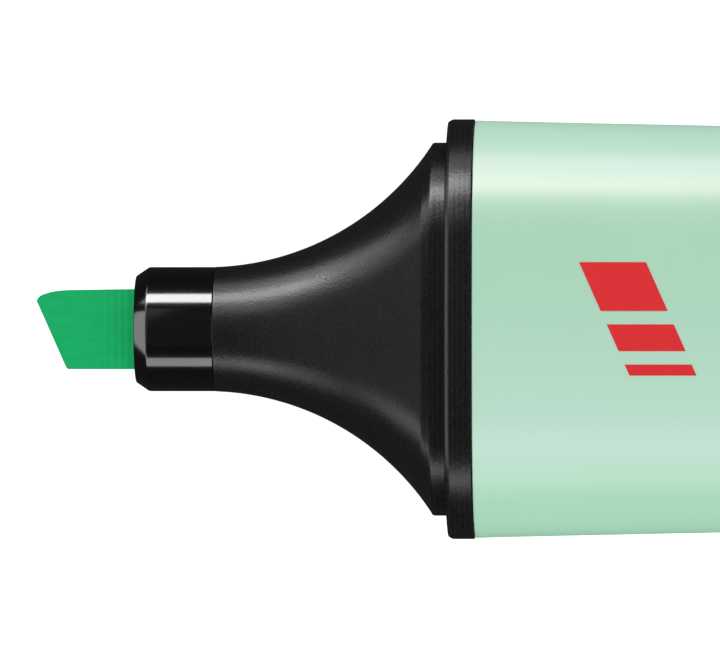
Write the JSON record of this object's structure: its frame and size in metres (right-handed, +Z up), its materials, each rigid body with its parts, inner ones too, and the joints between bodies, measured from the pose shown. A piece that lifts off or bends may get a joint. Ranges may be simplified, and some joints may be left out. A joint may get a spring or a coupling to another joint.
{
  "type": "highlighter",
  "caption": "Uncapped flat oval highlighter: slanted fibre nib in a round holder, flared grip section, tapered barrel, and an oval cap posted on the rear end.",
  "frame": {"origin": "on the surface that the pen lies on, under the middle of its posted length and on its centre line", "axes": "+X from the nib to the rear end, +Y across the wide face, +Z up through the thickness"},
  "size_m": [0.1212, 0.027, 0.017],
  "materials": {
    "green_fibre": "matte",
    "gloss_black_plastic": "polished",
    "satin_black_plastic": "satin",
    "mint_plastic": "gloss",
    "inked_fibre": "matte",
    "clear_film": "gloss",
    "natural_plastic": "satin"
  },
  "bodies": {
    "pen": {"nib": "green_fibre", "nib_holder": "gloss_black_plastic", "front_section": "satin_black_plastic", "barrel": "mint_plastic", "ink_reservoir": "inked_fibre", "reservoir_wrap": "clear_film", "end_plug": "satin_black_plastic"},
    "cap": {"cap_shell": "satin_black_plastic", "inner_cap": "natural_plastic"}
  },
  "joints": [
    {"name": "cap_slide", "type": "slide", "parent": "pen", "child": "cap", "axis": [1, 0, 0], "range_m": [0, 0.03]}
  ]
}
